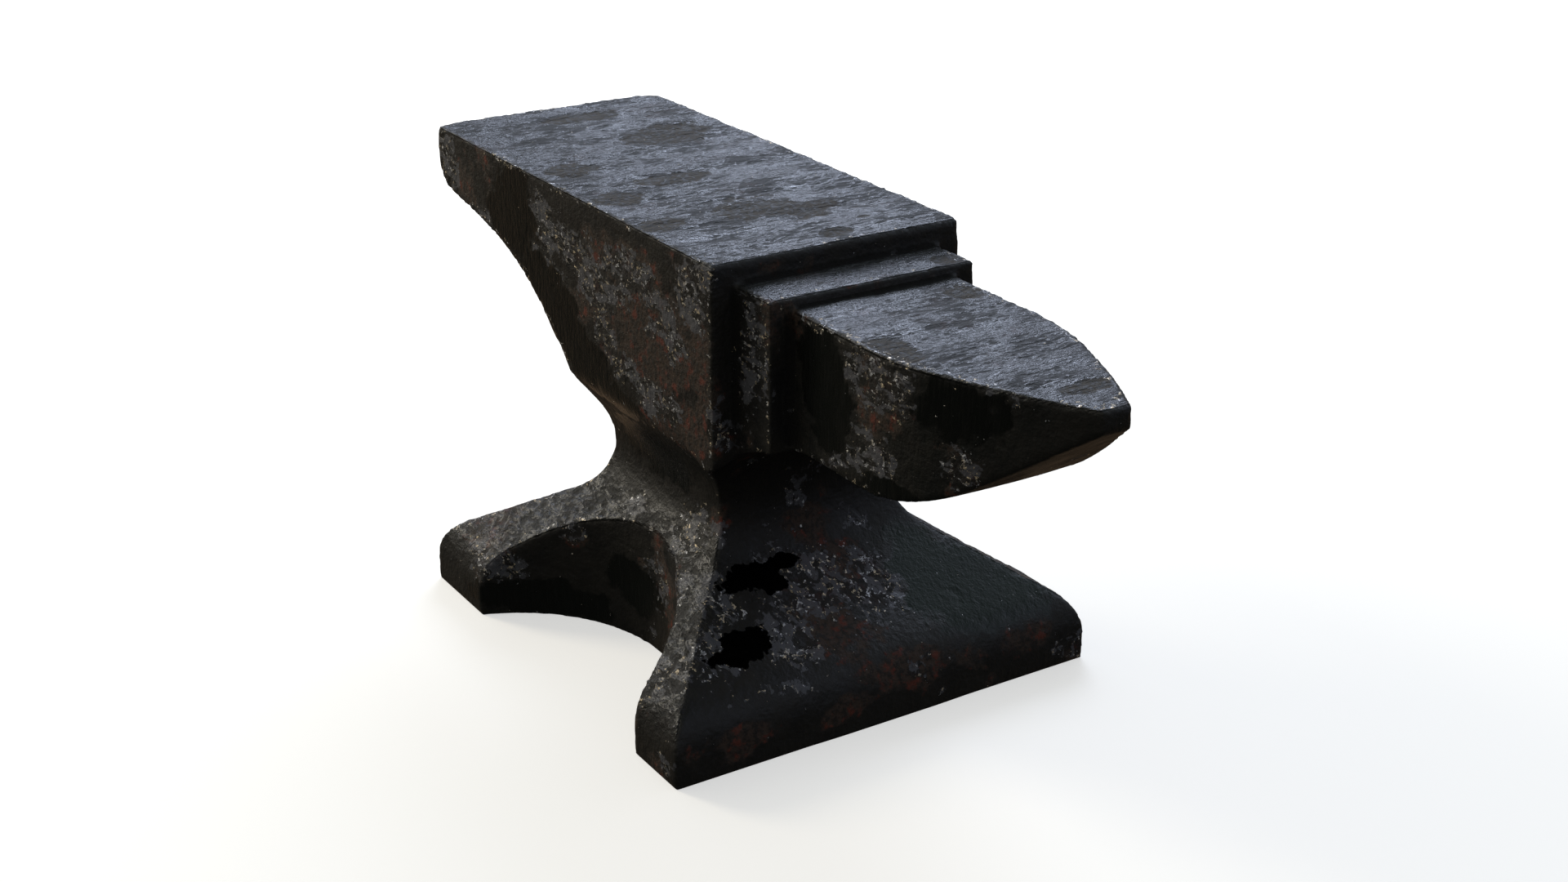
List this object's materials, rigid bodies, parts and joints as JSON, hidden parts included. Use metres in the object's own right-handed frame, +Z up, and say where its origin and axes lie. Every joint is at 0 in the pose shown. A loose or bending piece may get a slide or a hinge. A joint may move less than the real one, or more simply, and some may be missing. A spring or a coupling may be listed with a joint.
{
  "type": "anvil",
  "caption": "Blacksmith's anvil: wide flat face with an overhanging heel, a step, a flat-topped horn, a narrow waist and a spreading base with hollowed sides.",
  "frame": {"origin": "middle of the base's bottom face, on the floor, under the middle of the waist", "axes": "+X towards the horn, along the anvil; +Y towards its left side; +Z up"},
  "size_m": [0.465, 0.225, 0.215],
  "materials": {
    "face_steel": "worn forged steel, dark blue-grey with a fibrous slate-like relief and semi-gloss sheen, olive-brown worn patches",
    "body_iron": "near-black weathered iron with rust-brown patches, pale flaked scale along edges and semi-gloss relief",
    "table_iron": "near-black weathered iron, blue-grey sheen on its top, dark in the creases",
    "horn_iron": "near-black weathered iron with a blue-grey flat top, pale flakes and rust on its sides",
    "foot_iron": "dark brown-black weathered iron with worn grey upper slopes and pale flaked edges"
  },
  "bodies": {
    "root": {"face_plate": "face_steel", "core": "body_iron", "heel": "body_iron", "step_block": "table_iron", "horn": "horn_iron", "foot_front_left": "foot_iron", "foot_front_right": "foot_iron", "foot_rear_left": "foot_iron", "foot_rear_right": "foot_iron"}
  },
  "joints": []
}
